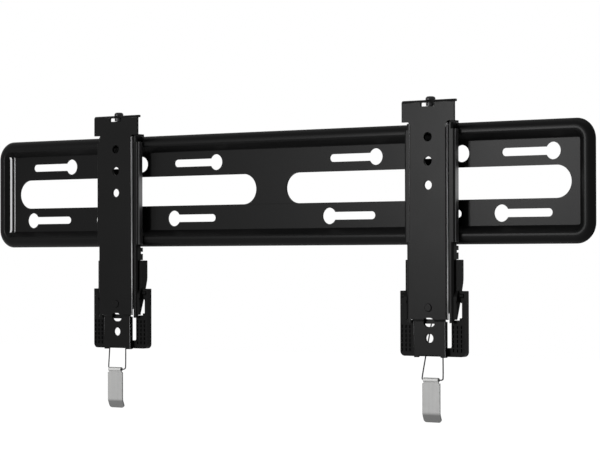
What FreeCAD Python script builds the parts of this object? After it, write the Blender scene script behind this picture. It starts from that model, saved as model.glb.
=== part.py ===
"""Fixed wall bracket for a television: one pressed wall plate and two hook-on arms.

The wall is the plane y = 0 and the front faces -Y. X runs along the plate and Z is up.
The origin is the centre of the plate's rear face. All sizes are in millimetres.
"""
import FreeCAD
import Part
import Sketcher
import math
import os

SIZES = {
    # wall plate: a pressed tray with a raised rim
    "plate_width": 762.0,
    "plate_height": 120.6,
    "plate_sheet": 2.0,
    "rim_width": 18.0,
    "rim_depth": 10.0,
    "rim_slope": 7.0,
    "rim_bend": 1.0,
    "lip_radius": 9.0,
    "lip_turn": 64.6,
    "lip_tail": 0.4,
    "field_corner": 1.5,
    "window_gap": 38.0,
    "window_length": 334.5,
    "window_height": 32.0,
    "web_raise": 1.0,
    "keyhole_pitch": 101.6,
    "keyhole_shift": 28.5,
    "keyhole_rows": 59.7,
    "keyhole_eye": 8.5,
    "keyhole_slot": 4.0,
    "keyhole_length": 65.0,
    # the pair of arms
    "arm_spacing": 400.0,
    "arm_shift": 3.7,
    "slide_gap": 0.3,
    # television bracket
    "face_depth": 21.0,
    "bracket_sheet": 2.5,
    "head_half": 30.5,
    "head_top": 83.5,
    "head_low": 61.8,
    "body_half": 22.25,
    "tongue_half": 18.0,
    "tongue_top": -134.8,
    "tongue_low": -170.2,
    "tongue_set": 2.0,
    "foot_drop": 2.2,
    "foot_width": 5.0,
    "flange_reach": 6.0,
    "ear_reach": 11.0,
    "ear_half": 8.0,
    "sight_low": 77.0,
    "hole_radius": 4.5,
    "hole_top": 46.7,
    "hole_spacing": 200.0,
    "hole_step": 24.0,
    "hole_low_step": 15.8,
    "hole_stretch": 1.8,
    "tongue_flange": 13.4,
    # guide rivet
    "rivet_height": -123.0,
    "rivet_shank": 2.5,
    "rivet_dome": 4.2,
    "rivet_rise": 1.0,
    "rivet_tail": 1.4,
    "washer_radius": 6.0,
    "washer_sheet": 1.0,
    # hanger
    "hanger_sheet": 2.0,
    "channel_half": 27.0,
    "channel_bend": 0.5,
    "wide_half": 29.5,
    "wide_top": 54.0,
    "wide_low": -58.0,
    "rim_clear": 0.8,
    "shelf_half": 24.0,
    "channel_low": -128.5,
    "toe_inner": 22.8,
    "toe_low": -134.8,
    "toe_tip": -138.0,
    "shelf_sheet": 2.5,
    "hook_gap": 0.2,
    "hook_wall": 1.0,
    "hook_clear": 0.6,
    "hook_drop": 5.5,
    "hook_inner": 6.0,
    "hook_outer": 21.0,
    "web_slot_half": 8.0,
    "web_slot_low": -12.0,
    "web_slot_top": 58.0,
    "fork_top": -115.6,
    "fork_gap": 0.15,
    "ear_top": -61.5,
    "ear_low": -75.0,
    "ear_wall": 7.0,
    "ear_notch": 2.3,
    # height screw, collar and weld nut
    "screw_depth": 15.15,
    "screw_radius": 2.5,
    "screw_end": 50.0,
    "screw_head": 5.0,
    "screw_rise": 3.6,
    "screw_socket": 2.3,
    "thread_gap": 0.05,
    "collar_radius": 4.6,
    "collar_rise": 3.1,
    "nut_across": 6.4,
    "nut_rise": 4.0,
    # release latch
    "latch_half": 15.0,
    "latch_low": -139.0,
    "latch_gap": 2.7,
    "latch_sheet": 2.0,
    "latch_tooth": 7.5,
    "latch_tooth_inner": 6.0,
    "latch_slot_half": 7.0,
    "latch_slot_top": -104.5,
    "latch_bar": 4.5,
    "cord_pocket": 3.0,
    "cord_pocket_half": 13.6,
    # latch spring
    "spring_depth": 9.5,
    "spring_radius": 2.5,
    "spring_wire": 0.9,
    "spring_turns": 6.0,
    "spring_room": 25.0,
    # guide yoke
    "yoke_gap": 0.4,
    "yoke_half": 30.65,
    "yoke_wall": 3.6,
    "yoke_web": 2.0,
    "yoke_front": 13.8,
    "yoke_toe": 17.4,
    "yoke_bridge": 24.6,
    "yoke_low": -134.5,
    "yoke_waist": 9.6,
    "yoke_waist_height": -117.0,
    "boss_height": -117.5,
    "boss_radius": 1.6,
    "boss_rise": 0.6,
    "rib_inner": 10.0,
    "rib_width": 2.5,
    "seat_sheet": 2.0,
    "peg_radius": 1.5,
    "peg_rise": 4.0,
    # kick stand and its pins
    "pin_depth": 11.2,
    "pin_height": -111.2,
    "pin_radius": 1.25,
    "pin_gap": 0.05,
    "stand_half": 37.6,
    "stand_inner": 22.0,
    "stand_rail": 3.6,
    "stand_top": -106.3,
    "stand_low": -171.6,
    "stand_bar": 8.6,
    "stand_front": 12.9,
    "stand_wall": 5.5,
    "stand_corner": 5.0,
    "stand_waist": -117.0,
    "stand_wing": -135.5,
    "stand_shoulder": -133.2,
    "shoulder_half": 31.4,
    "eye_radius": 2.8,
    "eye_half": 36.0,
    "grid_pitch": 4.6,
    "grid_rib": 1.2,
    "grid_deep": 1.2,
    # pull cords and tabs
    "cord_width": 1.4,
    "tab_half": 10.1,
    "tab_sheet": 1.8,
    "tab_bore_height": -194.75,
    "tab_bore": 1.25,
    "tab_hem": 2.3,
    "tab_notch": 1.5,
    "tab_notch_low": -198.0,
    "tab_bend": -228.5,
    "tab_end": -236.8,
    "tab_curl": 3.7,
    "tab_corner": 3.0,
}

# the cord routes, in millimetres across and up from the arm's centre line
CORD_ROUTES = {
    "left": [
        (-10.8, -136.0), (-15.3, -191.4), (-14.9, -193.9), (-12.9, -195.0), (-8.8, -194.9), (-1.8, -194.6),
        (4.2, -194.9), (7.7, -194.4), (9.5, -192.2), (8.6, -136.0),
    ],
    "right": [
        (0.7, -136.0), (-11.1, -192.3), (-10.7, -194.3), (-8.6, -195.0), (-4.8, -194.9), (1.4, -194.6),
        (7.4, -194.9), (12.4, -194.7), (13.95, -192.9), (12.6, -136.0),
    ],
}
TAB_SHIFTS = {"left": -5.6, "right": -0.3}

os.makedirs("parts", exist_ok=True)
doc = FreeCAD.newDocument("wall_bracket")
sheet = doc.addObject("Spreadsheet::Sheet", "Sizes")


class Size:
    """A size that keeps its number and the sheet expression that it comes from."""

    def __init__(self, number, text):
        self.number = number
        self.text = text

    def __add__(self, other):
        other = as_size(other)
        return Size(self.number + other.number, f"({self.text} + {other.text})")

    def __sub__(self, other):
        other = as_size(other)
        return Size(self.number - other.number, f"({self.text} - {other.text})")

    def __rsub__(self, other):
        return as_size(other) - self

    def __mul__(self, other):
        other = as_size(other)
        return Size(self.number * other.number, f"({self.text} * {other.text})")

    def __truediv__(self, other):
        other = as_size(other)
        return Size(self.number / other.number, f"({self.text} / {other.text})")

    def __neg__(self):
        return Size(-self.number, f"(0 - {self.text})")

    __radd__ = __add__
    __rmul__ = __mul__


def as_size(value):
    return value if isinstance(value, Size) else Size(float(value), repr(float(value)))


def root(size):
    return Size(math.sqrt(size.number), f"sqrt({size.text})")


def sine(size):
    return Size(math.sin(math.radians(size.number)), f"sin({size.text})")


def cosine(size):
    return Size(math.cos(math.radians(size.number)), f"cos({size.text})")


class Sheet:
    """The driving sizes by name, and the sizes worked out from them."""

    def __init__(self):
        self.rows = 0

    def put(self, name, content):
        self.rows += 1
        sheet.set(f"A{self.rows}", name)
        sheet.set(f"B{self.rows}", content)
        sheet.setAlias(f"B{self.rows}", name)

    def drive(self, name, number):
        self.put(name, str(number))
        setattr(self, name, Size(number, f"Sizes.{name}"))

    def work_out(self, name, size):
        self.put(name, "=" + size.text.replace("Sizes.", ""))
        setattr(self, name, Size(size.number, f"Sizes.{name}"))


at = Sheet()
for size_name, size_number in SIZES.items():
    at.drive(size_name, size_number)

# sizes that several pieces share, each measured forward from the wall or up from the centre
at.work_out("field_half_width", at.plate_width / 2 - at.rim_width)
at.work_out("field_half_height", at.plate_height / 2 - at.rim_width)
at.work_out("bracket_rear", at.face_depth - at.bracket_sheet)
at.work_out("web_front", at.bracket_rear - at.slide_gap)
at.work_out("web_rear", at.web_front - at.hanger_sheet)
at.work_out("shelf_low", at.plate_height / 2 + at.hook_gap)
at.work_out("shelf_top", at.shelf_low + at.shelf_sheet)
at.work_out("channel_inner", at.channel_half - at.hanger_sheet)
at.work_out("channel_rear", at.rim_depth + at.rim_clear)
at.work_out("lip_tangent", at.lip_radius * sine(at.lip_turn / 2) / cosine(at.lip_turn / 2))
at.work_out("lip_run", at.lip_tangent + at.lip_tail)
at.work_out("crest_end", at.rim_width - at.lip_tangent - at.lip_run * cosine(at.lip_turn))
at.work_out("lip_edge", at.rim_depth - at.lip_run * sine(at.lip_turn))
at.work_out("lip_behind", at.lip_edge - at.plate_sheet * cosine(at.lip_turn))
at.work_out("hook_front", at.lip_behind - at.hook_clear)
at.work_out("flange_low", at.head_top - at.bracket_sheet)
at.work_out("latch_shelf", -(at.plate_height / 2 + at.latch_gap))
at.work_out("latch_front", at.web_rear - at.slide_gap)
at.work_out("latch_rear", at.latch_front - at.latch_sheet)
at.work_out("latch_shelf_low", at.latch_shelf - at.latch_sheet)
at.work_out("bar_top", at.latch_low + at.latch_bar)
at.work_out("yoke_top", at.ear_low - at.yoke_gap)
at.work_out("bridge_low", at.yoke_top - at.yoke_bridge)
at.work_out("seat_top", at.latch_shelf_low - at.spring_room)
at.work_out("rib_front", at.latch_rear - at.slide_gap)
at.work_out("rib_outer", at.rib_inner + at.rib_width)
at.work_out("stand_ear", at.yoke_half + at.slide_gap)
at.work_out("cord_depth", (at.latch_front + at.latch_rear) / 2)


def new_body(name):
    body = doc.addObject("PartDesign::Body", name)
    body.Label = name
    return body


def new_sketch(body, name, plane, offset=0.0):
    """A sketch on one of the body's own planes, moved along the plane's normal."""
    sketch = body.newObject("Sketcher::SketchObject", name)
    support = [item for item in body.Origin.OriginFeatures if item.Role == plane][0]
    sketch.AttachmentSupport = (support, [""])
    sketch.MapMode = "FlatFace"
    sketch.setExpression("AttachmentOffset.Base.z", as_size(offset).text)
    return sketch


def front_sketch(body, name, forward=0.0):
    """A sketch seen from the front: across is X, up is Z, and it lies this far from the wall."""
    return new_sketch(body, name, "XZ_Plane", forward)


def side_sketch(body, name, across=0.0):
    """A sketch seen from the side: across is Y, up is Z."""
    return new_sketch(body, name, "YZ_Plane", across)


def plan_sketch(body, name, height=0.0):
    """A sketch seen from above: across is X, up is Y."""
    return new_sketch(body, name, "XY_Plane", height)


def bind(sketch, constraints, texts):
    """Add constraints and tie those that have a size to the sheet."""
    first = sketch.ConstraintCount
    sketch.addConstraint(constraints)
    for index, text in enumerate(texts):
        if text:
            sketch.setExpression(f"Constraints[{first + index}]", text)


def pin_point(geometry, point, across, up):
    """Hold one point at two distances from the sketch's origin."""
    constraints = [
        Sketcher.Constraint("DistanceX", -1, 1, geometry, point, across.number),
        Sketcher.Constraint("DistanceY", -1, 1, geometry, point, up.number),
    ]
    return constraints, [across.text, up.text]


def draw_outline(sketch, corners):
    """A closed chain of straight runs; a corner is (across, up) or (across, up, radius)."""
    corners = [tuple(as_size(value) for value in corner) for corner in corners]
    points = [FreeCAD.Vector(corner[0].number, corner[1].number, 0) for corner in corners]
    count = len(corners)
    ends_in, ends_out, arcs = list(points), list(points), {}
    for i, corner in enumerate(corners):
        if len(corner) < 3:
            continue
        radius = corner[2].number
        back = (points[i - 1] - points[i]).normalize()
        ahead = (points[(i + 1) % count] - points[i]).normalize()
        half = back.getAngle(ahead) / 2
        ends_in[i] = points[i] + back * (radius / math.tan(half))
        ends_out[i] = points[i] + ahead * (radius / math.tan(half))
        centre = points[i] + (back + ahead).normalize() * (radius / math.sin(half))
        left_turn = back.cross(ahead).z < 0
        start, stop = (ends_in[i], ends_out[i]) if left_turn else (ends_out[i], ends_in[i])
        angles = [math.atan2(end.y - centre.y, end.x - centre.x) for end in (start, stop)]
        circle = Part.Circle(centre, FreeCAD.Vector(0, 0, 1), radius)
        arcs[i] = (Part.ArcOfCircle(circle, angles[0], angles[1]), 1 if left_turn else 2)
    first = sketch.GeometryCount
    sketch.addGeometry([Part.LineSegment(ends_out[i], ends_in[(i + 1) % count]) for i in range(count)], False)
    arc_at, mark_at = {}, {}
    for i, (arc, _) in arcs.items():
        arc_at[i] = sketch.addGeometry(arc, False)
        mark_at[i] = sketch.addGeometry(Part.Point(points[i]), True)
    constraints, texts = [], []
    for i, corner in enumerate(corners):
        before, after = first + (i - 1) % count, first + i
        if i not in arcs:
            constraints.append(Sketcher.Constraint("Coincident", before, 2, after, 1))
            texts.append(None)
            held, names = pin_point(after, 1, corner[0], corner[1])
        else:
            arc, mark, enter = arc_at[i], mark_at[i], arcs[i][1]
            constraints += [
                Sketcher.Constraint("PointOnObject", mark, 1, before),
                Sketcher.Constraint("PointOnObject", mark, 1, after),
                Sketcher.Constraint("Tangent", before, 2, arc, enter),
                Sketcher.Constraint("Tangent", arc, 3 - enter, after, 1),
                Sketcher.Constraint("Radius", arc, corner[2].number),
            ]
            texts += [None, None, None, None, corner[2].text]
            held, names = pin_point(mark, 1, corner[0], corner[1])
        constraints += held
        texts += names
    bind(sketch, constraints, texts)


def draw_box(sketch, left, low, right, high, radius=None):
    """A rectangle, with rounded corners where a radius is given."""
    tail = () if radius is None else (radius,)
    corners = [(left, low), (right, low), (right, high), (left, high)]
    draw_outline(sketch, [corner + tail for corner in corners])


def draw_circle(sketch, across, up, radius):
    across, up, radius = as_size(across), as_size(up), as_size(radius)
    centre = FreeCAD.Vector(across.number, up.number, 0)
    index = sketch.addGeometry(Part.Circle(centre, FreeCAD.Vector(0, 0, 1), radius.number), False)
    constraints, texts = pin_point(index, 3, across, up)
    constraints.append(Sketcher.Constraint("Radius", index, radius.number))
    bind(sketch, constraints, texts + [radius.text])


def draw_slot(sketch, low_end, high_end, radius):
    """A slot with round ends, from one end's centre to the other's, along across or up."""
    low_end = tuple(as_size(value) for value in low_end)
    high_end = tuple(as_size(value) for value in high_end)
    radius = as_size(radius)
    starts = [FreeCAD.Vector(end[0].number, end[1].number, 0) for end in (low_end, high_end)]
    along = math.atan2(starts[1].y - starts[0].y, starts[1].x - starts[0].x)
    quarter = math.pi / 2
    side = FreeCAD.Vector(math.cos(along + quarter), math.sin(along + quarter), 0) * radius.number
    circles = [Part.Circle(start, FreeCAD.Vector(0, 0, 1), radius.number) for start in starts]
    near = sketch.addGeometry(Part.ArcOfCircle(circles[0], along + quarter, along + 3 * quarter), False)
    far = sketch.addGeometry(Part.ArcOfCircle(circles[1], along - quarter, along + quarter), False)
    low = sketch.addGeometry(Part.LineSegment(starts[0] - side, starts[1] - side), False)
    high = sketch.addGeometry(Part.LineSegment(starts[1] + side, starts[0] + side), False)
    near_held, near_texts = pin_point(near, 3, low_end[0], low_end[1])
    far_held, far_texts = pin_point(far, 3, high_end[0], high_end[1])
    constraints = near_held + far_held + [
        Sketcher.Constraint("Radius", near, radius.number),
        Sketcher.Constraint("Radius", far, radius.number),
        Sketcher.Constraint("Tangent", near, 2, low, 1),
        Sketcher.Constraint("Tangent", low, 2, far, 1),
        Sketcher.Constraint("Tangent", far, 2, high, 1),
        Sketcher.Constraint("Tangent", high, 2, near, 1),
    ]
    bind(sketch, constraints, near_texts + far_texts + [radius.text, radius.text, None, None, None, None])


def pad(body, sketch, length):
    """Material from the sketch along its plane's normal."""
    feature = body.newObject("PartDesign::Pad", sketch.Name + "_pad")
    feature.Profile = sketch
    feature.setExpression("Length", as_size(length).text)
    return feature


def cut(body, sketch, length):
    """A pocket from the sketch along its plane's normal."""
    feature = body.newObject("PartDesign::Pocket", sketch.Name + "_cut")
    feature.Profile = sketch
    feature.Reversed = True
    feature.setExpression("Length", as_size(length).text)
    return feature


def mirror(body, features):
    """The same features again on the other side of X = 0."""
    feature = body.newObject("PartDesign::Mirrored", features[0].Name + "_twin")
    feature.Originals = features
    feature.MirrorPlane = ([item for item in body.Origin.OriginFeatures if item.Role == "YZ_Plane"][0], [""])
    body.Tip = feature
    return feature


def turn(body, sketch):
    """A full turn of the sketch about its own vertical axis."""
    feature = body.newObject("PartDesign::Revolution", sketch.Name + "_turn")
    feature.Profile = sketch
    feature.ReferenceAxis = (sketch, ["V_Axis"])
    feature.Angle = 360
    return feature


def place(thing, across=0.0, forward=0.0, up=0.0):
    """Set where a piece's own origin stands."""
    thing.setExpression("Placement.Base.x", as_size(across).text)
    thing.setExpression("Placement.Base.y", (-as_size(forward)).text)
    thing.setExpression("Placement.Base.z", as_size(up).text)
    return thing


def make_wall_plate():
    """Steel sheet pressed to a tray: a flat field on the wall and a rolled rim proud of it."""
    body = new_body("wall_plate")
    margin = at.rim_bend
    spine_half = at.field_half_width - margin
    spine_rise = at.field_half_height - margin
    field = front_sketch(body, "plate_field")
    round_corner = at.field_corner
    draw_outline(field, [
        (0.0, -spine_rise), (spine_half, -spine_rise, round_corner), (spine_half, spine_rise, round_corner),
        (-spine_half, spine_rise, round_corner), (-spine_half, -spine_rise, round_corner),
    ])
    pad(body, field, at.plate_sheet)

    # the rim's section hangs below the field, at the middle of the bottom edge
    t = at.plate_sheet
    rise = at.rim_depth - t
    shift = t * (root(at.rim_slope * at.rim_slope + rise * rise) - at.rim_slope) / rise
    tangent_inner = at.lip_tangent * (at.lip_radius - t) / at.lip_radius
    lip_centre = at.crest_end
    edge = at.field_half_height
    outside = at.rim_bend + t
    section = side_sketch(body, "rim_section")
    tip_out = lip_centre + at.lip_tangent + at.lip_run * cosine(at.lip_turn)
    draw_outline(section, [
        (0.0, -(edge - margin)),
        (-t, -(edge - margin)),
        (-t, -edge, at.rim_bend),
        (-at.rim_depth, -(edge + at.rim_slope), outside),
        (-at.rim_depth, -(edge + lip_centre + at.lip_tangent), at.lip_radius),
        (-at.lip_edge, -(edge + tip_out)),
        (-at.lip_behind, -(edge + tip_out - t * sine(at.lip_turn))),
        (-(at.rim_depth - t), -(edge + lip_centre + tangent_inner), at.lip_radius - t),
        (-(at.rim_depth - t), -(edge + at.rim_slope + shift), at.rim_bend),
        (0.0, -(edge + shift), outside),
    ])
    doc.recompute()
    rim = body.newObject("PartDesign::AdditivePipe", "plate_rim")
    rim.Profile = section
    edges = len(field.Shape.Edges)
    rim.Spine = (field, [f"Edge{i + 1}" for i in range(edges)])
    rim.Mode = "Standard"

    # the web between the windows is pressed forward
    web_half = at.window_gap / 2 + at.window_height / 2
    raised = front_sketch(body, "web_raised", t)
    draw_box(raised, -web_half, -at.window_height / 2, web_half, at.window_height / 2)
    pad(body, raised, at.web_raise)

    windows = front_sketch(body, "windows")
    window_round = at.window_height / 2
    near = at.window_gap / 2 + window_round
    far = at.window_gap / 2 + at.window_length - window_round
    draw_slot(windows, (near, 0.0), (far, 0.0), window_round)
    draw_slot(windows, (-far, 0.0), (-near, 0.0), window_round)
    cut(body, windows, t + at.web_raise)

    # six keyholes in each row, none at the middle pitch
    eyes = front_sketch(body, "keyhole_eyes")
    slots = front_sketch(body, "keyhole_slots")
    row = at.keyhole_rows / 2
    reach = at.keyhole_length - at.keyhole_eye - at.keyhole_slot
    for step in (-3, -2, -1, 1, 2, 3):
        centre = at.keyhole_shift + at.keyhole_pitch * step
        draw_circle(eyes, centre, row, at.keyhole_eye)
        draw_slot(slots, (centre - reach, row), (centre, row), at.keyhole_slot)
    eye_cut = cut(body, eyes, t)
    slot_cut = cut(body, slots, t)
    both_rows = body.newObject("PartDesign::PolarPattern", "keyhole_rows_both")
    both_rows.Originals = [eye_cut, slot_cut]
    both_rows.Axis = ([item for item in body.Origin.OriginFeatures if item.Role == "Y_Axis"][0], [""])
    both_rows.Angle = 360
    both_rows.Occurrences = 2
    body.Tip = both_rows
    return body


def make_tv_bracket(side):
    """Steel sheet with a bent top flange; the television's bolts go through its holes."""
    body = new_body(side + "_tv_bracket")
    b = at.bracket_sheet
    low = at.tongue_low - at.foot_drop
    lean = b * 0.4142
    set_back = at.tongue_set
    profile = side_sketch(body, side + "_bracket_profile", -at.head_half)
    draw_outline(profile, [
        (-(at.face_depth - set_back), low),
        (-(at.bracket_rear - set_back), low),
        (-(at.bracket_rear - set_back), at.tongue_top - set_back + lean),
        (-at.bracket_rear, at.tongue_top + lean),
        (-at.bracket_rear, at.flange_low, b / 2),
        (-(at.face_depth - at.ear_reach), at.flange_low),
        (-(at.face_depth - at.ear_reach), at.head_top),
        (-at.face_depth, at.head_top, b * 1.2),
        (-at.face_depth, at.tongue_top),
        (-(at.face_depth - set_back), at.tongue_top - set_back),
    ])
    pad(body, profile, at.head_half * 2)

    # the flange is deep only at the screw's ear
    trim = plan_sketch(body, side + "_flange_trim", at.flange_low)
    outside = at.head_half + 1.0
    flange_edge = at.face_depth - at.flange_reach
    ear_edge = at.face_depth - at.ear_reach
    for sign in (-1, 1):
        draw_outline(trim, [
            (at.ear_half * sign, -flange_edge),
            (outside * sign, -flange_edge),
            (outside * sign, -(ear_edge - 1.0)),
            (at.ear_half * sign, -(ear_edge - 1.0)),
        ][::sign])
    cut(body, trim, b)

    # the blank is narrow below the head and narrower at the tongue
    blank = front_sketch(body, side + "_blank", at.bracket_rear - set_back)
    for sign in (-1, 1):
        draw_outline(blank, [
            (at.body_half * sign, at.head_low, 1.5),
            (at.body_half * sign, at.tongue_top, 1.0),
            (at.tongue_half * sign, at.tongue_top, 1.0),
            (at.tongue_half * sign, low - 1.0),
            (outside * sign, low - 1.0),
            (outside * sign, at.head_low),
        ][::sign])
    toe = at.tongue_half - at.foot_width
    draw_outline(blank, [
        (-toe, low - 1.0), (toe, low - 1.0), (toe, low), (toe - at.foot_drop / 2, at.tongue_low),
        (-(toe - at.foot_drop / 2), at.tongue_low), (-toe, low),
    ])
    cut(body, blank, b + set_back)

    holes = front_sketch(body, side + "_bracket_holes", at.bracket_rear - set_back)
    low_hole = at.hole_top - at.hole_spacing
    for height in (at.hole_top, at.hole_top - at.hole_step, at.hole_top - at.hole_step * 2, low_hole):
        draw_circle(holes, 0.0, height, at.hole_radius)
    oblong = low_hole + at.hole_low_step
    draw_slot(holes, (-at.hole_stretch, oblong), (at.hole_stretch, oblong), at.hole_radius)
    draw_circle(holes, 0.0, at.rivet_height, at.rivet_shank)
    draw_box(holes, -at.ear_half, at.sight_low, at.ear_half, at.flange_low, 0.8)
    cut(body, holes, b + set_back)

    screw_hole = plan_sketch(body, side + "_screw_hole", at.flange_low)
    draw_circle(screw_hole, 0.0, -at.screw_depth, at.screw_radius + at.slide_gap / 3)
    cut(body, screw_hole, b)

    # the tongue's two edges turn back and keep the cord between them
    flange = side_sketch(body, side + "_tongue_flange", at.tongue_half - b)
    draw_outline(flange, [
        (-(at.face_depth - set_back), at.tongue_low), (-(at.face_depth - set_back * 2), low),
        (-at.tongue_flange, low, 1.0), (-at.tongue_flange, at.tongue_top - set_back),
        (-(at.face_depth - set_back), at.tongue_top - set_back),
    ])
    flange_pad = pad(body, flange, b)
    mirror(body, [flange_pad])
    return body


def make_hanger(side):
    """Steel channel, wider where it crosses the plate; its hooks hold the rolled lip."""
    body = new_body(side + "_hanger")
    s = at.hanger_sheet
    bend = at.channel_bend
    front, rear = at.web_front, at.channel_rear
    runs = (
        ("_channel_foot", at.channel_half, at.toe_low, at.wide_low),
        ("_channel_wide", at.wide_half, at.wide_low, at.wide_top),
        ("_channel_head", at.channel_half, at.wide_top, at.shelf_low),
    )
    for name, outer, low, top in runs:
        inner = outer - s
        section = plan_sketch(body, side + name, low)
        draw_outline(section, [
            (-outer, -front, bend + s), (outer, -front, bend + s), (outer, -rear), (inner, -rear),
            (inner, -at.web_rear, bend), (-inner, -at.web_rear, bend), (-inner, -rear), (-outer, -rear),
        ])
        pad(body, section, top - low)

    # below the fork the web is open for the tongue, and only its two edges go on as toes
    opened = front_sketch(body, side + "_toe_opening", at.web_rear)
    draw_box(opened, -at.toe_inner, at.toe_low - 1.0, at.toe_inner, at.channel_low)
    cut(body, opened, s)
    toes = plan_sketch(body, side + "_toes", at.toe_tip)
    inner = at.channel_inner
    for sign in (-1, 1):
        draw_outline(toes, [
            (at.toe_inner * sign, -front), (at.channel_half * sign, -front, bend + s),
            (at.channel_half * sign, -(at.web_rear - 1.0)), (inner * sign, -(at.web_rear - 1.0)),
            (inner * sign, -at.web_rear), (at.toe_inner * sign, -at.web_rear),
        ][::sign])
    pad(body, toes, at.toe_low - at.toe_tip)

    # the shelf goes back over the rim and its hooks drop behind the rolled lip
    shelf = side_sketch(body, side + "_shelf", -at.shelf_half)
    draw_outline(shelf, [
        (-front, at.shelf_low), (-at.hook_wall, at.shelf_low), (-at.hook_wall, at.shelf_top, bend),
        (-front, at.shelf_top, bend * 2),
    ])
    pad(body, shelf, at.shelf_half * 2)
    hook = side_sketch(body, side + "_hook", at.hook_inner)
    draw_outline(hook, [
        (-at.hook_front, at.shelf_low + bend), (-at.hook_front, at.shelf_low - at.hook_drop),
        (-at.hook_wall, at.shelf_low - at.hook_drop, at.hook_clear), (-at.hook_wall, at.shelf_low + bend),
    ])
    hook_pad = pad(body, hook, at.hook_outer - at.hook_inner)
    mirror(body, [hook_pad])

    # ears on each side below the plate, each with a notch in its rear edge
    ears = side_sketch(body, side + "_ears", at.channel_inner)
    middle = (at.ear_top + at.ear_low) / 2 + at.ear_notch / 2
    deep = at.channel_rear - at.ear_wall - bend
    draw_outline(ears, [
        (-at.web_rear, at.ear_low), (-at.ear_wall, at.ear_low, bend),
        (-at.ear_wall, middle - at.ear_notch / 2), (-(at.ear_wall + deep), middle - at.ear_notch / 2),
        (-(at.ear_wall + deep), middle + at.ear_notch / 2), (-at.ear_wall, middle + at.ear_notch / 2),
        (-at.ear_wall, at.ear_top, bend), (-at.web_rear, at.ear_top),
    ])
    ear_pad = pad(body, ears, s)
    mirror(body, [ear_pad])

    # the long window clears the bolt heads, the fork guides the rivet
    openings = front_sketch(body, side + "_hanger_openings", at.web_rear)
    fork = at.rivet_shank + at.fork_gap
    draw_slot(openings, (0.0, at.web_slot_low + at.web_slot_half),
              (0.0, at.web_slot_top - at.web_slot_half), at.web_slot_half)
    draw_slot(openings, (0.0, at.channel_low - fork), (0.0, at.fork_top), fork)
    cut(body, openings, s)
    screw_way = plan_sketch(body, side + "_screw_way", at.screw_end - 8.0)
    draw_circle(screw_way, 0.0, -at.screw_depth, at.screw_radius + at.slide_gap * 2)
    cut(body, screw_way, at.shelf_top - at.screw_end + 8.0)
    return body


def sorted_pair(across_a, across_b, up_low, up_high):
    """Left, low, right and high of a box from two sides given in either order."""
    left, right = (across_a, across_b) if across_a.number < across_b.number else (across_b, across_a)
    return left, up_low, right, up_high


def make_height_screw(side):
    """Machine screw that turns in the bracket's ear and lifts it on the hanger's nut."""
    body = new_body(side + "_height_screw")
    profile = front_sketch(body, side + "_screw_profile")
    chamfer = at.screw_radius / 4
    end = at.screw_end - at.head_top
    draw_outline(profile, [
        (0.0, end), (at.screw_radius - chamfer, end), (at.screw_radius, end + chamfer),
        (at.screw_radius, 0.0), (at.screw_head, 0.0),
        (at.screw_head, at.screw_rise, at.screw_rise * 0.7), (0.0, at.screw_rise),
    ])
    turn(body, profile)
    socket = plan_sketch(body, side + "_screw_socket", at.screw_rise * 0.4)
    draw_hexagon(socket, at.screw_socket)
    cut(body, socket, at.screw_rise)
    return body


def draw_hexagon(sketch, across_half):
    """A hexagon about the origin, with flats at this half distance."""
    across_half = as_size(across_half)
    long_half = across_half * 1.1547
    draw_outline(sketch, [
        (long_half, 0.0), (long_half / 2, across_half), (-long_half / 2, across_half),
        (-long_half, 0.0), (-long_half / 2, -across_half), (long_half / 2, -across_half),
    ])


def make_screw_collar(side):
    """Pressed ring under the flange that keeps the screw in its ear."""
    body = new_body(side + "_screw_collar")
    top = at.flange_low - at.slide_gap - at.head_top
    ring = plan_sketch(body, side + "_collar_ring", top - at.collar_rise)
    draw_circle(ring, 0.0, 0.0, at.collar_radius)
    draw_circle(ring, 0.0, 0.0, at.screw_radius)
    pad(body, ring, at.collar_rise)
    return body


def make_screw_nut(side):
    """Hexagon nut welded to the shelf, in line with the screw."""
    body = new_body(side + "_screw_nut")
    hexagon = plan_sketch(body, side + "_nut_hexagon")
    draw_hexagon(hexagon, at.nut_across / 2)
    draw_circle(hexagon, 0.0, 0.0, at.screw_radius + at.thread_gap)
    pad(body, hexagon, at.nut_rise)
    return body


def make_guide_rivet(side):
    """Domed rivet fixed in the bracket; its shank runs in the hanger's fork."""
    body = new_body(side + "_guide_rivet")
    profile = plan_sketch(body, side + "_rivet_profile")
    clinch = at.web_rear - at.fork_gap - at.washer_sheet - at.face_depth
    draw_outline(profile, [
        (0.0, -at.rivet_rise), (at.rivet_dome, -at.rivet_rise, at.rivet_rise * 0.85), (at.rivet_dome, 0.0),
        (at.rivet_shank, 0.0), (at.rivet_shank, -clinch), (at.rivet_dome, -clinch),
        (at.rivet_dome, -clinch + at.rivet_tail), (0.0, -clinch + at.rivet_tail),
    ])
    turn(body, profile)
    return body


def make_rivet_washer(side):
    """Flat washer under the rivet's tail, behind the hanger's web."""
    body = new_body(side + "_rivet_washer")
    ring = front_sketch(body, side + "_washer_ring")
    draw_circle(ring, 0.0, 0.0, at.washer_radius)
    draw_circle(ring, 0.0, 0.0, at.rivet_shank)
    pad(body, ring, at.washer_sheet)
    return body


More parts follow.
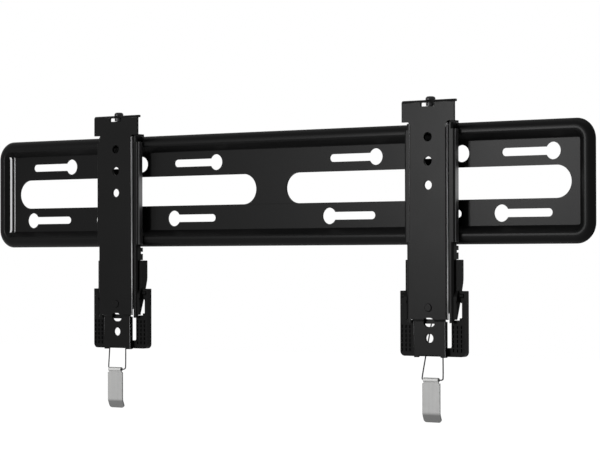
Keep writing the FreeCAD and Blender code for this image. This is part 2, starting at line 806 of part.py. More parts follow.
def make_release_latch(side):
    """Steel slide in the channel; its teeth catch behind the plate's bottom lip."""
    body = new_body(side + "_release_latch")
    half = at.latch_half
    plate = front_sketch(body, side + "_latch_plate", at.latch_rear)
    draw_box(plate, -half, at.latch_low, half, at.latch_shelf)
    pad(body, plate, at.latch_sheet)
    shelf = plan_sketch(body, side + "_latch_shelf", at.latch_shelf_low)
    draw_box(shelf, -half, -at.latch_front, half, -at.hook_wall)
    pad(body, shelf, at.latch_sheet)
    teeth = side_sketch(body, side + "_latch_teeth", at.latch_tooth_inner)
    top = at.latch_shelf + at.latch_tooth
    ramp = (at.hook_front - at.hook_wall) / 2
    draw_outline(teeth, [
        (-at.hook_front, at.latch_shelf_low), (-at.hook_wall, at.latch_shelf_low), (-at.hook_wall, top),
        (-at.hook_wall - ramp, top), (-at.hook_front, top - ramp * 2),
    ])
    tooth_pad = pad(body, teeth, half - at.latch_tooth_inner)
    mirror(body, [tooth_pad])
    bar = front_sketch(body, side + "_latch_bar", at.latch_rear - at.slide_gap * 3)
    draw_box(bar, -half, at.latch_low, half, at.bar_top)
    pad(body, bar, at.latch_sheet + at.slide_gap * 4)
    window = front_sketch(body, side + "_latch_window", at.latch_rear)
    draw_box(window, -at.latch_slot_half, at.bar_top, at.latch_slot_half, at.latch_slot_top, 2.0)
    cut(body, window, at.latch_sheet)
    pocket = plan_sketch(body, side + "_cord_pocket", at.latch_low)
    draw_box(pocket, -at.cord_pocket_half, -at.latch_front, at.cord_pocket_half, -at.latch_rear, 0.6)
    cut(body, pocket, at.cord_pocket)
    return body


def make_latch_spring(side):
    """Coil spring that pushes the latch up behind the lip."""
    body = new_body(side + "_latch_spring")
    wire = front_sketch(body, side + "_spring_wire")
    start = at.seat_top + at.slide_gap + at.spring_wire / 2
    draw_circle(wire, at.spring_radius, start, at.spring_wire / 2)
    coil = body.newObject("PartDesign::AdditiveHelix", side + "_spring_coil")
    coil.Profile = wire
    coil.ReferenceAxis = (wire, ["V_Axis"])
    coil.Mode = "height-turns-angle"
    coil.setExpression("Height", (at.spring_room - at.slide_gap * 2 - at.spring_wire).text)
    coil.setExpression("Turns", at.spring_turns.text)
    coil.Angle = 0
    coil.Growth = 0
    body.Tip = coil
    return body


def make_guide_yoke(side):
    """Moulded guide round the channel: two legs for the stand and a seat for the spring."""
    body = new_body(side + "_guide_yoke")
    outer, inner = at.yoke_half, at.channel_half
    legs = side_sketch(body, side + "_yoke_legs", inner)
    step = at.bridge_low - 6.0
    draw_outline(legs, [
        (-at.yoke_front, at.yoke_top, 1.0),
        (-at.yoke_front, step, 6.0),
        (-at.yoke_toe, step - 6.0, 6.0),
        (-at.yoke_toe, at.yoke_low),
        (-(at.yoke_toe - 1.4), at.yoke_low, 0.6),
        (-at.yoke_waist, at.yoke_waist_height, 14.0),
        (-at.yoke_wall, at.bridge_low + 4.0, 20.0),
        (-at.yoke_wall, at.yoke_top, 1.0),
    ])
    leg_pad = pad(body, legs, outer - inner)
    mirror(body, [leg_pad])
    bridge = front_sketch(body, side + "_yoke_bridge", at.yoke_wall)
    draw_box(bridge, -inner, at.bridge_low, inner, at.yoke_top)
    pad(body, bridge, at.yoke_web)
    deep = at.rib_front - at.yoke_wall - at.yoke_web
    ribs = front_sketch(body, side + "_yoke_ribs", at.yoke_wall + at.yoke_web)
    seat_low = at.seat_top - at.seat_sheet
    outer_rib = at.rib_outer
    draw_outline(ribs, [
        (-outer_rib, at.bridge_low), (-at.rib_inner, at.bridge_low), (-at.rib_inner, seat_low),
        (at.rib_inner, seat_low), (at.rib_inner, at.bridge_low), (outer_rib, at.bridge_low),
        (outer_rib, at.yoke_top - at.rib_width), (at.rib_inner, at.yoke_top - at.rib_width),
        (at.rib_inner, at.seat_top), (-at.rib_inner, at.seat_top),
        (-at.rib_inner, at.yoke_top - at.rib_width), (-outer_rib, at.yoke_top - at.rib_width),
    ])
    pad(body, ribs, deep)
    peg = plan_sketch(body, side + "_spring_peg", at.seat_top)
    draw_circle(peg, 0.0, -at.spring_depth, at.peg_radius)
    pad(body, peg, at.peg_rise)
    bosses = front_sketch(body, side + "_yoke_bosses", at.yoke_toe)
    for sign in (-1, 1):
        draw_circle(bosses, (outer + inner) / 2 * sign, at.boss_height, at.boss_radius)
    pad(body, bosses, at.boss_rise)
    pin_hole = side_sketch(body, side + "_yoke_pin_hole", -outer)
    draw_circle(pin_hole, -at.pin_depth, at.pin_height, at.pin_radius)
    cut(body, pin_hole, outer * 2)
    return body


def make_kick_stand(side):
    """Moulded ribbed frame hinged on the yoke; it props the screen off the wall."""
    body = new_body(side + "_kick_stand")
    half, ear, inner = at.stand_half, at.stand_ear, at.stand_inner
    rail = half - at.stand_rail
    bar_top = at.stand_low + at.stand_bar
    frame = front_sketch(body, side + "_stand_frame", at.stand_wall)
    draw_outline(frame, [
        (-half, at.stand_top, 0.8), (-half, at.stand_low, at.stand_corner),
        (half, at.stand_low, at.stand_corner), (half, at.stand_top, 0.8),
        (ear, at.stand_top), (ear, at.stand_waist), (rail, at.stand_waist - 1.5),
        (rail, at.stand_shoulder, 0.8), (at.shoulder_half, at.stand_shoulder),
        (at.shoulder_half, at.stand_wing), (inner, at.stand_wing), (inner, bar_top, 2.0),
        (-inner, bar_top, 2.0), (-inner, at.stand_wing), (-at.shoulder_half, at.stand_wing),
        (-at.shoulder_half, at.stand_shoulder), (-rail, at.stand_shoulder, 0.8),
        (-rail, at.stand_waist - 1.5), (-ear, at.stand_waist), (-ear, at.stand_top),
    ])
    pad(body, frame, at.stand_front - at.stand_wall)
    eyes = side_sketch(body, side + "_stand_eyes", ear)
    draw_circle(eyes, -at.pin_depth, at.pin_height, at.eye_radius)
    eye_pad = pad(body, eyes, at.eye_half - ear)
    mirror(body, [eye_pad])
    pin_hole = side_sketch(body, side + "_stand_pin_hole", -at.eye_half)
    draw_circle(pin_hole, -at.pin_depth, at.pin_height, at.pin_radius + at.pin_gap)
    cut(body, pin_hole, at.eye_half * 2)

    # the wings are a grid of ribs in front
    cells = front_sketch(body, side + "_stand_cells", at.stand_front - at.grid_deep)
    wing = half - inner
    open_cell = at.grid_pitch - at.grid_rib
    first = inner + (wing - at.grid_pitch * 3 + at.grid_rib) / 2
    for column in range(3):
        left = first + at.grid_pitch * column
        for line in range(6):
            low = bar_top - 4.0 + at.grid_pitch * line
            draw_box(cells, left, low, left + open_cell, low + open_cell)
    cell_cut = cut(body, cells, at.grid_deep)
    mirror(body, [cell_cut])
    return body


def make_stand_pins(side):
    """Two short steel pins pressed in the yoke's legs, on the stand's axis."""
    body = new_body(side + "_stand_pins")
    outline = side_sketch(body, side + "_pin_outline", at.channel_half)
    draw_circle(outline, -at.pin_depth, at.pin_height, at.pin_radius)
    first = pad(body, outline, at.eye_half - at.slide_gap - at.channel_half)
    mirror(body, [first])
    return body


def make_pull_tab(side):
    """Grey plastic strip with a hem for the cord and a curled end."""
    body = new_body(side + "_pull_tab")
    front = at.cord_depth + at.tab_sheet / 2
    rear = at.cord_depth - at.tab_sheet / 2
    fall = at.tab_bend - at.tab_end
    slant = at.tab_curl / fall
    tilt = root(slant * slant + 1.0)
    profile = side_sketch(body, side + "_tab_profile", -at.tab_half)
    corner = at.tab_sheet * (tilt - 1.0) / slant
    draw_outline(profile, [
        (-front, at.tab_bore_height),
        (-front, at.tab_bend - corner, 8.0 + at.tab_sheet),
        (-(front - at.tab_curl) - corner * 0.0, at.tab_end - corner),
        (-(front - at.tab_curl) + at.tab_sheet / tilt, at.tab_end - corner + at.tab_sheet * slant / tilt),
        (-rear, at.tab_bend, 8.0),
        (-rear, at.tab_bore_height),
    ])
    pad(body, profile, at.tab_half * 2)
    hem = side_sketch(body, side + "_tab_hem", -at.tab_half)
    draw_circle(hem, -at.cord_depth, at.tab_bore_height, at.tab_hem)
    pad(body, hem, at.tab_half * 2)
    bore = side_sketch(body, side + "_tab_bore", -at.tab_half)
    draw_circle(bore, -at.cord_depth, at.tab_bore_height, at.tab_bore)
    cut(body, bore, at.tab_half * 2)
    notch = front_sketch(body, side + "_tab_notches", at.cord_depth - at.tab_hem)
    for sign in (-1, 1):
        draw_box(notch, *sorted_pair((at.tab_half - at.tab_notch) * sign, (at.tab_half + 1.0) * sign,
                                     at.tab_notch_low, at.tab_bore_height + at.tab_hem + 1.0))
    cut(body, notch, at.tab_hem * 2)
    doc.recompute()
    strip = body.Tip
    ends = [
        f"Edge{i + 1}" for i, edge in enumerate(strip.Shape.Edges)
        if edge.BoundBox.ZMax < at.tab_bend.number - 3.0 and edge.BoundBox.XLength < 0.01
        and edge.Length < at.tab_sheet.number * 1.3
    ]
    rounded = body.newObject("PartDesign::Fillet", side + "_tab_round")
    rounded.Base = (strip, ends)
    rounded.setExpression("Radius", at.tab_corner.text)
    return body


def make_pull_cord(side):
    """Round cord in a loop from the latch's bar through the tab's hem and back."""
    depth = at.cord_depth.number
    radius = at.cord_width.number / 2
    route = [FreeCAD.Vector(across, -depth, up) for across, up in CORD_ROUTES[side]]
    roof = at.latch_low.number + at.cord_pocket.number
    route[0].z = roof
    route[-1].z = roof
    edges, length, start = [], 0.0, route[0]
    for before, point, after in zip(route, route[1:], route[2:]):
        back, ahead = before - point, after - point
        turn_half = (math.pi - back.getAngle(ahead)) / 2
        bend = 0.45 * min(back.Length, ahead.Length) / math.tan(turn_half)
        reach = bend * math.tan(turn_half)
        enter = point + back.normalize() * reach
        leave = point + ahead.normalize() * reach
        inward = (back + ahead).normalize()
        middle = point + inward * (bend / math.cos(turn_half) - bend)
        edges.append(Part.LineSegment(start, enter).toShape())
        edges.append(Part.Arc(enter, middle, leave).toShape())
        length += (enter - start).Length + bend * turn_half * 2
        start = leave
        print(f"{side} cord bend radius {bend:.2f} mm, turn {math.degrees(turn_half * 2):.1f} degrees")
    edges.append(Part.LineSegment(start, route[-1]).toShape())
    length += (route[-1] - start).Length
    path = Part.Wire(edges)
    heading = (route[1] - route[0]).normalize()
    ring = Part.Wire(Part.Circle(route[0], heading, radius).toShape())
    tube = path.makePipeShell([ring], True, False)
    bottom = Part.Face(ring)
    print(f"{side} cord: length {length:.2f} mm, volume {tube.Volume:.2f}, section times length "
          f"{bottom.Area * length:.2f}")
    cord = doc.addObject("Part::Feature", side + "_pull_cord")
    cord.Label = side + "_pull_cord"
    cord.Shape = tube
    return cord


nodes = [make_wall_plate()]
for side, sign in (("left", -1), ("right", 1)):
    arm = at.arm_shift + at.arm_spacing / 2 * sign
    nodes += [
        place(make_tv_bracket(side), arm),
        place(make_hanger(side), arm),
        place(make_height_screw(side), arm, at.screw_depth, at.head_top),
        place(make_screw_collar(side), arm, at.screw_depth, at.head_top),
        place(make_screw_nut(side), arm, at.screw_depth, at.shelf_top),
        place(make_guide_rivet(side), arm, at.face_depth, at.rivet_height),
        place(make_rivet_washer(side), arm, at.web_rear - at.fork_gap - at.washer_sheet, at.rivet_height),
        place(make_release_latch(side), arm),
        place(make_latch_spring(side), arm, at.spring_depth),
        place(make_guide_yoke(side), arm),
        place(make_kick_stand(side), arm),
        place(make_stand_pins(side), arm),
        place(make_pull_tab(side), arm + TAB_SHIFTS[side]),
        place(make_pull_cord(side), arm),
    ]

doc.recompute()
failed = [item.Name for item in doc.Objects if "Invalid" in item.State or "Error" in item.State]
for item in [] if failed else doc.Objects:
    if item.TypeId == "PartDesign::Pocket" and item.Shape.Volume > item.BaseFeature.Shape.Volume - 0.01:
        failed.append(item.Name + " cuts nothing")
for node in [] if failed else nodes:
    if node.Shape.isNull() or not node.Shape.isValid():
        failed.append(node.Label + " is not a sound shape")
if failed:
    raise RuntimeError("not built: " + ", ".join(failed))
for node in nodes:
    print(f"{node.Label}: {len(node.Shape.Solids)} solid, {node.Shape.Volume:.1f} mm3")
    node.Shape.exportStep(f"parts/{node.Label}.step")
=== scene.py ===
"""Low-profile wall bracket for a flat television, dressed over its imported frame."""
import bmesh
import bpy
import math
from mathutils import Matrix, Vector


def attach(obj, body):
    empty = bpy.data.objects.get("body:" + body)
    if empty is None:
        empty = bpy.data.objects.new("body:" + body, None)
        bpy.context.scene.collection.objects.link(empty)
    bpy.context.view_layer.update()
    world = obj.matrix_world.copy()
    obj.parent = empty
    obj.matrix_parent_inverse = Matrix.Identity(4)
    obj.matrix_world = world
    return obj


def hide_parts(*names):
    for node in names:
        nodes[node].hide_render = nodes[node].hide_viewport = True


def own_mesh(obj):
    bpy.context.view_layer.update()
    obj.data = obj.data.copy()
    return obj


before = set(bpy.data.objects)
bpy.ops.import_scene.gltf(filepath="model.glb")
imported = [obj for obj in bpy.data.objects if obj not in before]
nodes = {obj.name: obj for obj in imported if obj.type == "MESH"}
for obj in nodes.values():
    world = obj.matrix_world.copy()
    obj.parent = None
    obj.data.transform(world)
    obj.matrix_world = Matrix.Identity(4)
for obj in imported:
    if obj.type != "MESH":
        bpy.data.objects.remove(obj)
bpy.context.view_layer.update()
LEFT_ARM, RIGHT_ARM = -0.1963, 0.2037
ARMS = {"left": LEFT_ARM, "right": RIGHT_ARM}

# The camera stands on the right, a little below the plate's lower edge, and looks left across
# the plate. Its place comes from the keyholes, whose pitch fixes the scale.
CAMERA_PLACE = (1.31794, -1.85495, -0.07552)
CAMERA_YAW, CAMERA_PITCH, CAMERA_ROLL = 0.605073, 0.013731, -0.002326
PHOTO_WIDTH, FOCAL_PIXELS = 600, 2160.63
SENSOR_WIDTH = 36.0
VIEW_REACH = 60.0
view_data = bpy.data.cameras.new("photo_view")
view_data.sensor_width = SENSOR_WIDTH
view_data.lens = FOCAL_PIXELS * SENSOR_WIDTH / PHOTO_WIDTH
view_data.clip_end = VIEW_REACH
view = bpy.data.objects.new("photo_view", view_data)
bpy.context.collection.objects.link(view)
view.matrix_world = (
    Matrix.Translation(CAMERA_PLACE)
    @ Matrix.Rotation(CAMERA_YAW, 4, "Z")
    @ Matrix.Rotation(math.pi / 2 + CAMERA_PITCH, 4, "X")
    @ Matrix.Rotation(CAMERA_ROLL, 4, "Z")
)
bpy.context.scene.camera = view


# Pull cords: a thin black braided cord hangs in a loop from each latch's bottom bar and
# carries the grey tab. Its ends are held inside the bar.
class Wire:
    """A socket's output in one material. Sums and products of wires add their own nodes."""

    def __init__(self, tree, socket=None):
        self.tree = tree
        self.socket = socket

    def node(self, kind, settings=None, values=None, out=0):
        """A new node with these settings and input values, and a wire from one of its outputs."""
        made = self.tree.nodes.new(kind)
        for name, value in (settings or {}).items():
            setattr(made, name, value)
        for name, value in (values or {}).items():
            if isinstance(value, Wire):
                self.tree.links.new(value.socket, made.inputs[name])
            else:
                made.inputs[name].default_value = value
        return Wire(self.tree, made.outputs[out] if made.outputs else None)

    def beside(self, name):
        """Another output of the same node."""
        return Wire(self.tree, self.socket.node.outputs[name])

    def maths(self, operation, first, second=0.0):
        """A sum or comparison of two values."""
        return self.node("ShaderNodeMath", {"operation": operation}, {0: first, 1: second})

    def near(self, middle, reach):
        """One where this value is within reach of the middle, and nought elsewhere."""
        return self.node("ShaderNodeMath", {"operation": "COMPARE"}, {0: self, 1: middle, 2: reach})

    def split(self):
        """The three parts of this vector."""
        across = self.node("ShaderNodeSeparateXYZ", None, {0: self}, "X")
        return across, across.beside("Y"), across.beside("Z")

    def drawn_out(self, share):
        """This vector with its upright part cut to a share, which draws patterns out upright."""
        return self.node("ShaderNodeMapping", None, {"Vector": self, "Scale": (1.0, 1.0, share)})

    def noise(self, scale, detail):
        """Soft noise over this vector."""
        return self.node("ShaderNodeTexNoise", None, {"Vector": self, "Scale": scale, "Detail": detail})

    def tint(self, low, high):
        """The low colour where this value is nought and the high colour where it is one."""
        return self.node("ShaderNodeMix", {"data_type": "RGBA"}, {0: self, 6: low, 7: high}, 2)

    def relief(self, strength, distance):
        """The normal of a surface with this value as its height."""
        return self.node("ShaderNodeBump", None, {"Strength": strength, "Distance": distance, "Height": self})

    def __add__(self, other):
        return self.maths("ADD", self, other)

    def __sub__(self, other):
        return self.maths("SUBTRACT", self, other)

    def __mul__(self, other):
        return self.maths("MULTIPLY", self, other)

    __radd__ = __add__
    __rmul__ = __mul__


def new_finish(name, coordinates="Object"):
    """An empty material, and a wire of the coordinates to build it from."""
    material = bpy.data.materials.new(name)
    material.use_nodes = True
    material.node_tree.nodes.clear()
    return material, Wire(material.node_tree).node("ShaderNodeTexCoord", out=coordinates)


def close_finish(wire, values):
    """The shader that shows, with the values or wires of its sockets."""
    shader = wire.node("ShaderNodeBsdfPrincipled", None, values)
    wire.node("ShaderNodeOutputMaterial", None, {"Surface": shader})


CORD_LIGHT = (0.014, 0.014, 0.0145, 1.0)
CORD_SHADE = (0.003, 0.003, 0.003, 1.0)
CORD_DIAMETER = 0.0014
CORD_DEPTH = 0.0149
BRAID_TURNS = 130.0
BRAID_STRANDS = 3.0
FULL_TURN = 6.2832
MILLIMETRES = 1000
CORD_ROUTES = {
    "left": [
        (-10.8, -136.0), (-15.3, -191.4), (-14.9, -193.9), (-12.9, -195.0), (-8.8, -194.9), (-1.8, -194.6),
        (4.2, -194.9), (7.7, -194.4), (9.5, -192.2), (8.6, -136.0),
    ],
    "right": [
        (0.7, -136.0), (-11.1, -192.3), (-10.7, -194.3), (-8.6, -195.0), (-4.8, -194.9), (1.4, -194.6),
        (7.4, -194.9), (12.4, -194.7), (13.95, -192.9), (12.6, -136.0),
    ],
}
braid_finish, here = new_finish("braided_cord", "UV")
along, around, _ = here.split()
one_way = here.maths("SINE", (along * BRAID_TURNS + around * BRAID_STRANDS) * FULL_TURN)
other_way = here.maths("SINE", (along * BRAID_TURNS - around * BRAID_STRANDS) * FULL_TURN)
strands = here.maths("MAXIMUM", one_way, other_way) * 0.5 + 0.5
close_finish(here, {
    "Base Color": strands.tint(CORD_SHADE, CORD_LIGHT), "Roughness": 0.8,
    "Normal": strands.relief(0.5, 0.0002),
})
for side, arm in ARMS.items():
    strand = bpy.data.curves.new(side + "_cord", "CURVE")
    strand.dimensions = "3D"
    strand.bevel_depth = CORD_DIAMETER / 2
    strand.bevel_resolution = 3
    strand.resolution_u = 10
    strand.use_fill_caps = True
    spline = strand.splines.new("NURBS")
    route = CORD_ROUTES[side]
    spline.points.add(len(route) - 1)
    for point, (across, up) in zip(spline.points, route):
        point.co = (arm + across / MILLIMETRES, -CORD_DEPTH, up / MILLIMETRES, 1.0)
    spline.order_u = 3
    spline.use_endpoint_u = True
    strand.materials.append(braid_finish)
    cord = bpy.data.objects.new(side + "_cord", strand)
    bpy.context.collection.objects.link(cord)
    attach(cord, side + "_latch")
    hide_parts(side + "_pull_cord")


# Wall plate: one sheet of steel pressed to a shallow tray with a rolled rim, slotted for
# wall screws and powder coated black. The coat has a fine orange peel. The two folds inside
# the left rim carry a painted highlight: a light, part-metallic band in the coat.
def dress(node, material):
    """Give a node of the frame this material all over."""
    slots = nodes[node].material_slots
    if not slots:
        nodes[node].data.materials.append(material)
    for place in slots:
        place.material = material


PLATE_DARK = (0.0012, 0.0012, 0.0012, 1.0)
PLATE_LIGHT = (0.0024, 0.0024, 0.0025, 1.0)
COAT_GLOSS = {"Specular IOR Level": 0.05, "Coat Weight": 0.04, "Coat Roughness": 0.25}
RIM_PAINTED_HIGHLIGHT = (0.62, 0.62, 0.63, 1.0)
RIM_STRAIGHT_HALF = 0.043
WALL_FOLD_X, WALL_FOLD_DEPTH = -0.36495, -0.0030
FOOT_FOLD_X, FOOT_FOLD_DEPTH = -0.36125, -0.0012
FOLD_HALF_WIDTH = 0.0007
FOOT_SHARE = 0.35
METAL_SHARE = 0.9
plate_finish, here = new_finish("plate_powder_coat")
peel = here.noise(900.0, 3.0)
cloud = here.noise(14.0, 4.0)
across, depth, up = here.split()
straight = here.maths("LESS_THAN", here.maths("ABSOLUTE", up), RIM_STRAIGHT_HALF)
wall_fold = across.near(WALL_FOLD_X, FOLD_HALF_WIDTH) * straight
wall_fold = wall_fold * here.maths("LESS_THAN", depth, WALL_FOLD_DEPTH)
foot_fold = across.near(FOOT_FOLD_X, FOLD_HALF_WIDTH) * straight
foot_fold = foot_fold * here.maths("LESS_THAN", depth, FOOT_FOLD_DEPTH)
# Painted highlight: light, part-metallic bands on the two folds inside the left rim only.
painted_rim_highlight = wall_fold + foot_fold * FOOT_SHARE
close_finish(here, {
    **COAT_GLOSS,
    "Base Color": painted_rim_highlight.tint(cloud.tint(PLATE_DARK, PLATE_LIGHT), RIM_PAINTED_HIGHLIGHT),
    "Roughness": 0.36 + cloud * 0.08,
    "Metallic": (wall_fold + foot_fold) * METAL_SHARE, "Normal": peel.relief(0.25, 0.0001),
})
dress("wall_plate", plate_finish)


# Television brackets and release latches: folded steel sheet with a smoother black coat that
# shows faint long drawing marks. The brackets' upright folds are rounded over, and their
# faces turned to the sides carry a painted highlight: a light, part-metallic band.
WELD_REACH = 0.000002
FLAT_TURN = math.radians(0.5)
CURVE_TURNS = (0.01, 0.6)
SHARP_TURN = 0.7
AXIS_ALIGNED = 0.99999
SIDE_FACING = 0.7
FRONT_FACING = 0.99
FOLD_STEPS, EDGE_STEPS = 6, 2
TONGUE_SIDE = 0.0175
FRONT_SIDES = (0.0195, 0.028)
FOLD_LENGTH = 0.012
WIDE_FOLD, TIGHT_FOLD = 0.0021, 0.0006
BRACKET_EDGE = 0.0003


def round_off(shape, edges, radius, steps, mark):
    """Round these edges over. New faces that are turned to a side take the mark that sets their painted
    highlight.
    """
    painted_fold_highlight = shape.faces.layers.float.get("painted_fold_highlight") or shape.faces.layers.float.new("painted_fold_highlight")
    made = bmesh.ops.bevel(
        shape, geom=[edge for edge in edges if edge.is_valid], offset=radius, offset_type="OFFSET",
        segments=steps, profile=0.5, affect="EDGES", material=-1, clamp_overlap=False,
    )
    for face in made["faces"]:
        face.smooth = True
        face[painted_fold_highlight] = mark if abs(face.normal.x) > SIDE_FACING else 0.0


def softened(node, body, material, edge_radius, folds_of):
    """A merged copy of a CAD piece with its folds and edges rounded, in the piece's place."""
    shape = bmesh.new()
    shape.from_mesh(nodes[node].data)
    shape.transform(nodes[node].matrix_world)
    bmesh.ops.remove_doubles(shape, verts=shape.verts, dist=WELD_REACH)
    bmesh.ops.dissolve_limit(shape, angle_limit=FLAT_TURN, verts=shape.verts, edges=shape.edges)
    joined = {edge: edge.calc_face_angle() for edge in shape.edges if len(edge.link_faces) == 2}
    for face in shape.faces:
        curved = any(CURVE_TURNS[0] < joined.get(edge, 0.0) < CURVE_TURNS[1] for edge in face.edges)
        face.smooth = curved and max(abs(part) for part in face.normal) < AXIS_ALIGNED
    sharp = [edge for edge, turn in joined.items() if turn > SHARP_TURN]
    for radius, folds in folds_of(sharp):
        round_off(shape, folds, radius, FOLD_STEPS, 1.0)
    if edge_radius:
        round_off(shape, sharp, edge_radius, EDGE_STEPS, 0.0)
    mesh = bpy.data.meshes.new(node + "_soft")
    shape.to_mesh(mesh)
    shape.free()
    mesh.materials.append(material)
    piece = bpy.data.objects.new(node + "_soft", mesh)
    bpy.context.collection.objects.link(piece)
    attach(piece, body)
    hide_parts(node)
    return piece


def side_folds(edges, arm):
    """The long upright edges of an arm's front face and tongue, with the radius of each."""
    wide, tight = [], []
    for edge in edges:
        ends = [vert.co for vert in edge.verts]
        upright = abs(ends[0].z - ends[1].z) > FOLD_LENGTH and abs(ends[0].x - ends[1].x) < 0.0001
        outward = abs(ends[0].x - arm)
        front = any(face.normal.y < -FRONT_FACING for face in edge.link_faces)
        if upright and front and TONGUE_SIDE < outward < FRONT_SIDES[1]:
            (wide if outward > FRONT_SIDES[0] else tight).append(edge)
    return [(WIDE_FOLD, wide), (TIGHT_FOLD, tight)]


ARM_DARK = (0.0012, 0.0012, 0.0012, 1.0)
ARM_LIGHT = (0.0024, 0.0024, 0.0024, 1.0)
# Painted highlight: the rounded folds' faces turned to a side take this light, part-metallic colour.
FOLD_PAINTED_HIGHLIGHT = (0.74, 0.74, 0.745, 1.0)
arm_finish, here = new_finish("arm_satin_coat")
marks = here.drawn_out(0.12).noise(420.0, 3.0)
peel = here.noise(1400.0, 2.0)
cloud = here.noise(22.0, 3.0)
painted_fold_highlight = here.node("ShaderNodeAttribute", {"attribute_name": "painted_fold_highlight"}, None, "Fac")
close_finish(here, {
    **COAT_GLOSS,
    "Base Color": painted_fold_highlight.tint(cloud.tint(ARM_DARK, ARM_LIGHT), FOLD_PAINTED_HIGHLIGHT),
    "Roughness": 0.34 + cloud * 0.08 + marks * 0.03,
    "Metallic": painted_fold_highlight * METAL_SHARE, "Normal": (peel + marks * 0.5).relief(0.15, 0.0001),
})
for side, arm in ARMS.items():
    dress(side + "_release_latch", arm_finish)
    softened(
        side + "_tv_bracket", side + "_bracket", arm_finish, BRACKET_EDGE,
        lambda edges: side_folds(edges, arm))


# Hangers: folded channels that hook over the plate. Both sides of the wide part that crosses
# it carry a painted highlight: a light, part-metallic band in the coat.
SIDE_PAINTED_HIGHLIGHT = (0.16, 0.16, 0.162, 1.0)
ARMS_MIDDLE = (LEFT_ARM + RIGHT_ARM) / 2
ARMS_HALF_PITCH = (RIGHT_ARM - LEFT_ARM) / 2
SIDE_WALL = 0.0291
hanger_finish, here = new_finish("hanger_gloss_coat")
peel = here.noise(1400.0, 2.0)
cloud = here.noise(26.0, 3.0)
off_middle = here.split()[0] - ARMS_MIDDLE
off_arm = off_middle - here.maths("SIGN", off_middle) * ARMS_HALF_PITCH
# Painted highlight wherever the hanger lies farther than SIDE_WALL from its arm's middle.
side_painted_highlight = here.maths("GREATER_THAN", here.maths("ABSOLUTE", off_arm), SIDE_WALL)
close_finish(here, {
    **COAT_GLOSS,
    "Base Color": side_painted_highlight.tint(cloud.tint(ARM_DARK, ARM_LIGHT), SIDE_PAINTED_HIGHLIGHT),
    "Roughness": 0.34 + cloud * 0.08,
    "Metallic": side_painted_highlight * METAL_SHARE, "Normal": peel.relief(0.15, 0.0001),
})
for side in ARMS:
    dress(side + "_hanger", hanger_finish)


# Screws, collars, nuts, washers and pins: small steel parts with a glossy black finish. The
# guide rivets' heads take the arms' coat.
SCREW_BLACK = (0.022, 0.022, 0.023, 1.0)
screw_finish, here = new_finish("black_zinc")
grain = here.noise(1500.0, 3.0)
close_finish(here, {
    "Base Color": SCREW_BLACK, "Metallic": 0.35, "Roughness": 0.26 + grain * 0.12, "Specular IOR Level": 0.15,
    "Normal": grain.relief(0.1, 0.00005),
})
for side in ARMS:
    for name in ("_height_screw", "_screw_collar", "_screw_nut", "_rivet_washer", "_stand_pins"):
        dress(side + name, screw_finish)
    dress(side + "_guide_rivet", arm_finish)


# Latch springs: bright drawn steel wire. Each spring's foot sits on the yoke and the latch's
# shelf presses its top down; here each spring is a merged copy with a mesh of its own that
# moves with the carriage.
SPRING_GREY = (0.42, 0.42, 0.43, 1.0)
spring_finish, here = new_finish("spring_wire")
grain = here.noise(2400.0, 2.0)
close_finish(here, {"Base Color": SPRING_GREY, "Metallic": 1.0, "Roughness": 0.22 + grain * 0.15})
for side, arm in ARMS.items():
    spring = softened(
        side + "_latch_spring", side + "_carriage", spring_finish, 0.0, lambda edges: [])
    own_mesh(spring)


# Guide yokes and kick stands: moulded black nylon with a fine spark-eroded grain. The yokes
# stay on the hangers, and the stands swing out on their pins.
NYLON_DARK = (0.0015, 0.0015, 0.0015, 1.0)
NYLON_LIGHT = (0.003, 0.003, 0.003, 1.0)
nylon_finish, here = new_finish("black_nylon")
grain = here.noise(2600.0, 2.0)
cloud = here.noise(30.0, 2.0)
close_finish(here, {
    "Base Color": cloud.tint(NYLON_DARK, NYLON_LIGHT), "Roughness": 0.42 + grain * 0.12,
    "Specular IOR Level": 0.05, "Normal": grain.relief(0.2, 0.0001),
})
for side in ARMS:
    dress(side + "_guide_yoke", nylon_finish)
    dress(side + "_kick_stand", nylon_finish)


# Pull tabs: light grey plastic strip with a hem for the cord and a curled end. The hem has
# a painted highlight along it and painted shade along its top, and the curled end has painted
# shade.
TAB_DARK = (0.31, 0.31, 0.305, 1.0)
TAB_LIGHT = (0.45, 0.45, 0.445, 1.0)
HEM_PAINTED_HIGHLIGHT = (0.66, 0.66, 0.65, 1.0)
BLACK = (0.0, 0.0, 0.0, 1.0)
CURL_START, CURL_END = -0.2275, -0.2300
CURL_SHADE = 0.62
HEM_TOP, HEM_TOP_SHADE = -0.1932, 0.3
HEM_LINE, HEM_LINE_HALF, HEM_LINE_SHARE = -0.1945, 0.0013, 0.8
tab_finish, here = new_finish("grey_tab_plastic")
cloud = here.noise(120.0, 3.0)
grain = here.noise(1800.0, 2.0)
streaks = here.drawn_out(0.04).noise(330.0, 2.0)
height = here.split()[2]
# Painted shade: the curled end and the hem's top are darkened towards black.
curl_painted_shade = here.node(
    "ShaderNodeMapRange", None, {"Value": height, 1: CURL_START, 2: CURL_END, 3: 0.0, 4: CURL_SHADE})
hem_top = here.maths("GREATER_THAN", height, HEM_TOP) * HEM_TOP_SHADE
# Painted highlight: a pale line along the hem.
hem_painted_highlight = height.near(HEM_LINE, HEM_LINE_HALF) * HEM_LINE_SHARE
plain = (cloud * 0.4 + streaks * 0.6).tint(TAB_DARK, TAB_LIGHT)
shaded = here.maths("MAXIMUM", curl_painted_shade, hem_top).tint(plain, BLACK)
close_finish(here, {
    "Base Color": hem_painted_highlight.tint(shaded, HEM_PAINTED_HIGHLIGHT), "Roughness": 0.36 + grain * 0.1,
    "Normal": grain.relief(0.1, 0.0001),
})
for side in ARMS:
    dress(side + "_pull_tab", tab_finish)


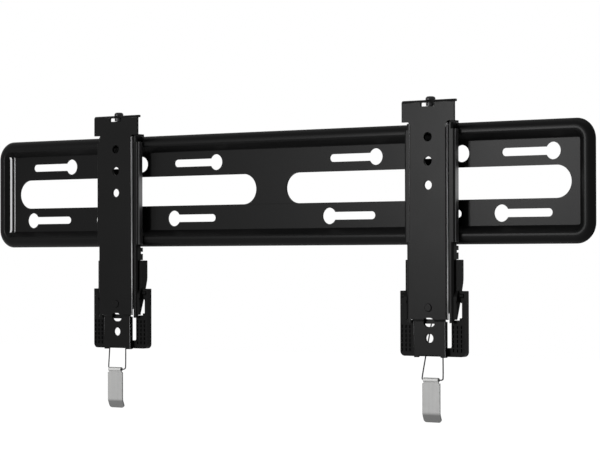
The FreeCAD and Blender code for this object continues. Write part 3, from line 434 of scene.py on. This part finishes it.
# Pale floor well below the bracket, white surroundings, and two soft lamps: one in front
# on the left and one above.
def seen_directly(wire):
    """One for rays that show the surroundings, and nought for those that light the scene."""
    camera = wire.node("ShaderNodeLightPath", out="Is Camera Ray")
    indirect = camera.beside("Is Glossy Ray") + camera.beside("Is Transmission Ray")
    return wire.maths("MINIMUM", camera + indirect, 1.0)


def soft_lamp(name, place, width, height, power):
    """A rectangular soft lamp that faces the wall plate's centre."""
    lamp_data = bpy.data.lights.new(name, "AREA")
    lamp_data.shape = "RECTANGLE"
    lamp_data.size = width
    lamp_data.size_y = height
    lamp_data.energy = power
    lamp = bpy.data.objects.new(name, lamp_data)
    bpy.context.collection.objects.link(lamp)
    lamp.location = place
    lamp.rotation_euler = (-Vector(place)).to_track_quat("-Z", "Y").to_euler()


FLOOR_HEIGHT = -0.9
FLOOR_HALF = 14.0
FLOOR_GREY = (0.80, 0.80, 0.80, 1.0)
FLOOR_GLOW = 0.88
WHITE = (1.0, 1.0, 1.0, 1.0)
SKY_LIGHT = 0.20
SKY_SHOWN = 0.80
floor_mesh = bpy.data.meshes.new("floor")
shape = bmesh.new()
bmesh.ops.create_grid(
    shape, x_segments=1, y_segments=1, size=FLOOR_HALF, matrix=Matrix.Translation((0, 0, FLOOR_HEIGHT)))
shape.to_mesh(floor_mesh)
shape.free()
floor = bpy.data.objects.new("floor", floor_mesh)
bpy.context.collection.objects.link(floor)
floor_finish = bpy.data.materials.new("pale_floor")
floor_finish.use_nodes = True
floor_finish.node_tree.nodes.clear()
wire = Wire(floor_finish.node_tree)
glow = wire.node("ShaderNodeEmission", None, {"Color": WHITE, "Strength": seen_directly(wire) * FLOOR_GLOW})
matt = wire.node("ShaderNodeBsdfDiffuse", None, {"Color": FLOOR_GREY})
both = wire.node("ShaderNodeAddShader", None, {0: glow, 1: matt})
wire.node("ShaderNodeOutputMaterial", None, {"Surface": both})
floor_mesh.materials.append(floor_finish)

world = bpy.data.worlds.new("white_studio")
world.use_nodes = True
world.node_tree.nodes.clear()
wire = Wire(world.node_tree)
strength = seen_directly(wire) * SKY_SHOWN + SKY_LIGHT
sky = wire.node("ShaderNodeBackground", None, {"Color": WHITE, "Strength": strength})
wire.node("ShaderNodeOutputWorld", None, {"Surface": sky})
bpy.context.scene.world = world

soft_lamp("front_lamp", place=(-0.98, -2.5, 0.30), width=0.5, height=0.7, power=46.0)
soft_lamp("top_lamp", place=(0.2, -0.8, 2.4), width=1.6, height=0.8, power=5.0)

bpy.context.scene.view_settings.view_transform = "Standard"
